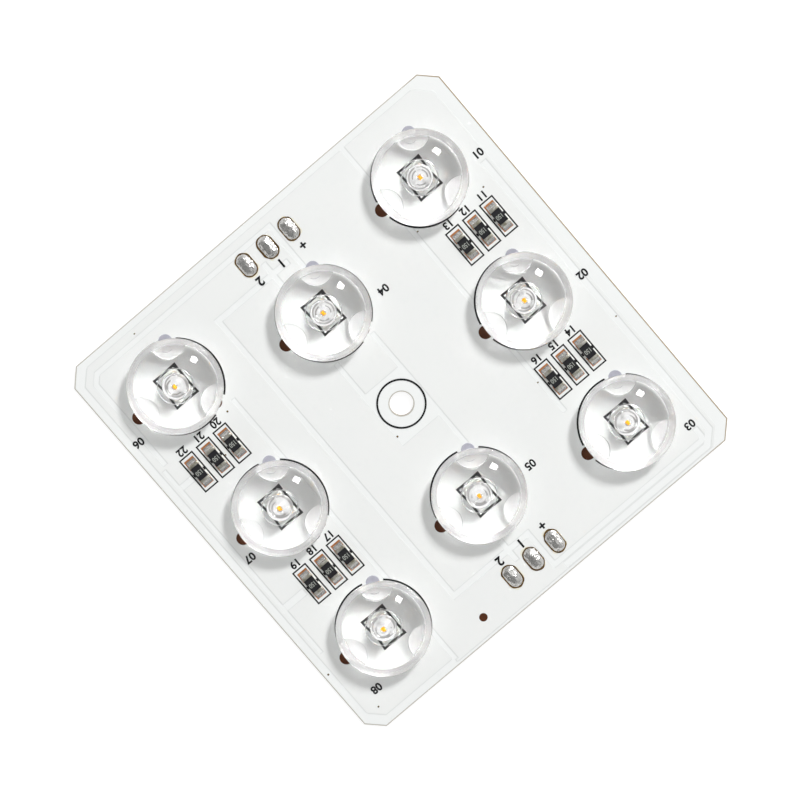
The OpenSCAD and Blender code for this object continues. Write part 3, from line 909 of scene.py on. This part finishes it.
# Width and unevenness of the dark rim and of the pale halo beyond it, and their heights.
flux_bands = ((0.1, 0.12, 0.05), (0.16, 0.45, 0.006))
least_width = 0.01
ragged_scale, ragged_start, next_band, next_rim = 1.3, 20, 40, 3.1
bm = bmesh.new()
for i, name in enumerate(terminal_names):
    at = middle_of(name)
    size = size_of(name)
    straight = (size.x - size.y) / 2
    for band, (width, unevenness, thickness) in enumerate(flux_bands):
        drawn = bmesh.ops.create_circle(bm, cap_ends=True, segments=72, radius=size.y / 2)["verts"]
        for v in drawn:
            draw = ragged_start + band * next_band + i * next_rim
            ragged = noise.noise(Vector((v.co.x * ragged_scale, v.co.y * ragged_scale, draw)))
            v.co *= 1 + max(least_width, width + unevenness * ragged) / (size.y / 2)
            v.co.x += math.copysign(straight, v.co.x)
        bmesh.ops.translate(bm, vec=(at.x, at.y, mask_top), verts=drawn)
        film_face = list({f for v in drawn for f in v.link_faces})
        raised = bmesh.ops.extrude_face_region(bm, geom=film_face)["geom"]
        raised_verts = [g for g in raised if isinstance(g, bmesh.types.BMVert)]
        bmesh.ops.translate(bm, vec=(0, 0, thickness), verts=raised_verts)
        for face in {f for v in drawn + raised_verts for f in v.link_faces}:
            face.material_index = band
bmesh.ops.recalc_face_normals(bm, faces=bm.faces)
flux_rims = finish_piece(bm, "flux_rims", rosin, halo_bloom)

# Small drops of flux that spat on the board in the oven.
speck_places = [
    (10.9, 17.7), (-11.3, -25.2), (-16.1, -20.7), (-18.1, 18.6), (-16.8, 30.4), (3.4, -3.7),
    (-34.0, -23.7), (32.9, -32.6), (24.2, -35.2), (10.9, 33.1)]
speck_size = 0.32
speck_height = 0.06
speck_widths = (0.7, 0.85, 1.0)
bm = bmesh.new()
for i, (x, y) in enumerate(speck_places):
    share = speck_widths[i % 3]
    speck = bmesh.ops.create_uvsphere(bm, u_segments=16, v_segments=8, radius=1)["verts"]
    bmesh.ops.scale(bm, vec=(speck_size / 2 * share, speck_size / 2, speck_height), verts=speck)
    bmesh.ops.translate(bm, vec=(x, y, mask_top - dip_depth * dip_at(x, y)), verts=speck)
flux_specks = finish_piece(bm, "flux_specks", rosin)


# Studio
# A white floor that goes out to the horizon, one soft box beyond the board's top edge, and a sky of
# soft light all round that is dark overhead, where the camera is, and brighter on the soft box's side.

floor_size = 4.0
floor_drop = 0.05 * MM
paper_lift = 0.9
floor_bm = bmesh.new()
bmesh.ops.create_grid(floor_bm, x_segments=1, y_segments=1, size=floor_size)
bmesh.ops.translate(floor_bm, vec=(0, 0, -floor_drop), verts=floor_bm.verts)
floor_mesh = bpy.data.meshes.new("floor")
floor_bm.to_mesh(floor_mesh)
floor_bm.free()
floor = bpy.data.objects.new("floor", floor_mesh)
bpy.context.scene.collection.objects.link(floor)
paper, tree, shader = new_finish("white_paper", {
    "Base Color": linear("#8c8c8c"), "Roughness": 0.9, "Emission Color": (1, 1, 1, 1)})
ray = add_node(tree, "ShaderNodeLightPath")
seen = add_node(tree, "ShaderNodeMath", {
    0: ray.outputs["Is Camera Ray"], 1: ray.outputs["Is Glossy Ray"]}, operation="MAXIMUM")
seen_through = add_node(tree, "ShaderNodeMath", {
    0: seen.outputs[0], 1: ray.outputs["Is Transmission Ray"]}, operation="MAXIMUM")
lift_to_white = add_node(tree, "ShaderNodeMath", {0: seen_through.outputs[0], 1: paper_lift},
                         operation="MULTIPLY")
tree.links.new(lift_to_white.outputs[0], shader.inputs["Emission Strength"])
floor_mesh.materials.append(paper)

scene = bpy.context.scene
world = bpy.data.worlds.new("studio_sky")
scene.world = world
world.use_nodes = True
tree = world.node_tree
# Light of the sky as pairs of height, from 0 at the horizon to 1 overhead, and level. The low sky is
# even all round, and above it the soft box's side is brighter. The camera sees plain white.
sky_levels = (
    (0.0, 0.5), (0.13, 1.05), (0.4, 1.05), (0.5, 0.35), (0.66, 0.35), (0.72, 0.6), (0.88, 0.6), (0.94, 0.35),
    (1.0, 0.3))
sky_side_azimuth, sky_side_share = 100, 0.75
side_start, side_full = 0.42, 0.6
sky_direction = add_node(tree, "ShaderNodeTexCoord").outputs["Generated"]
height = add_node(tree, "ShaderNodeSeparateXYZ", {"Vector": sky_direction})
sky = add_node(tree, "ShaderNodeValToRGB", {"Fac": height.outputs["Z"]})
for z, _ in sky_levels[1:-1]:
    sky.color_ramp.elements.new(z)
for stop, (z, level) in zip(sky.color_ramp.elements, sky_levels):
    stop.color = (level, level, level, 1)
side_azimuth = math.radians(sky_side_azimuth)
side = add_node(tree, "ShaderNodeVectorMath", {
    0: sky_direction, 1: (math.cos(side_azimuth), math.sin(side_azimuth), 0)}, operation="DOT_PRODUCT")
side_reach = add_node(tree, "ShaderNodeMapRange", {
    "Value": height.outputs["Z"], "From Min": side_start, "From Max": side_full,
    "To Max": sky_side_share})
side_level = add_node(tree, "ShaderNodeMath", {
    0: side.outputs["Value"], 1: side_reach.outputs[0], 2: 1.0}, operation="MULTIPLY_ADD")
sky_light = add_node(tree, "ShaderNodeVectorMath", {
    0: sky.outputs["Color"], 1: side_level.outputs[0]}, operation="MULTIPLY")
ray = add_node(tree, "ShaderNodeLightPath")
seen_sky = add_node(tree, "ShaderNodeMixRGB", {
    "Fac": ray.outputs["Is Camera Ray"], "Color1": sky_light.outputs[0], "Color2": (1, 1, 1, 1)})
tree.links.new(seen_sky.outputs[0], tree.nodes["Background"].inputs["Color"])

soft_box_azimuth, soft_box_elevation, soft_box_distance = 108, 42, 1.8
soft_box = bpy.data.lights.new("soft_box", "AREA")
soft_box.shape = "RECTANGLE"
soft_box.size, soft_box.size_y = 0.28, 0.4
soft_box.energy = 22.4
lamp = bpy.data.objects.new("soft_box", soft_box)
scene.collection.objects.link(lamp)
azimuth, elevation = math.radians(soft_box_azimuth), math.radians(soft_box_elevation)
lamp.location = soft_box_distance * Vector((
    math.cos(azimuth) * math.cos(elevation), math.sin(azimuth) * math.cos(elevation), math.sin(elevation)))
lamp.rotation_euler = (-lamp.location).to_track_quat("-Z", "Y").to_euler()

# Light that goes through the lenses is not blurred or capped, so that each throws its true pattern.
scene.cycles.blur_glossy = 0.0
scene.cycles.sample_clamp_indirect = 0.0
scene.cycles.max_bounces = 20
scene.cycles.glossy_bounces = 12
scene.cycles.transmission_bounces = 20

camera_data = bpy.data.cameras.new("camera")
camera = bpy.data.objects.new("camera", camera_data)
scene.collection.objects.link(camera)
scene.camera = camera
camera_data.sensor_width = 36.0
camera_data.lens = 98.3
camera_data.clip_start = 0.01
camera.location = Vector((-19.86, 12.3, 329.18)) * MM
camera.rotation_euler = [math.radians(a) for a in (-3.931, -0.574, 49.59)]

scene.view_settings.view_transform = "Standard"
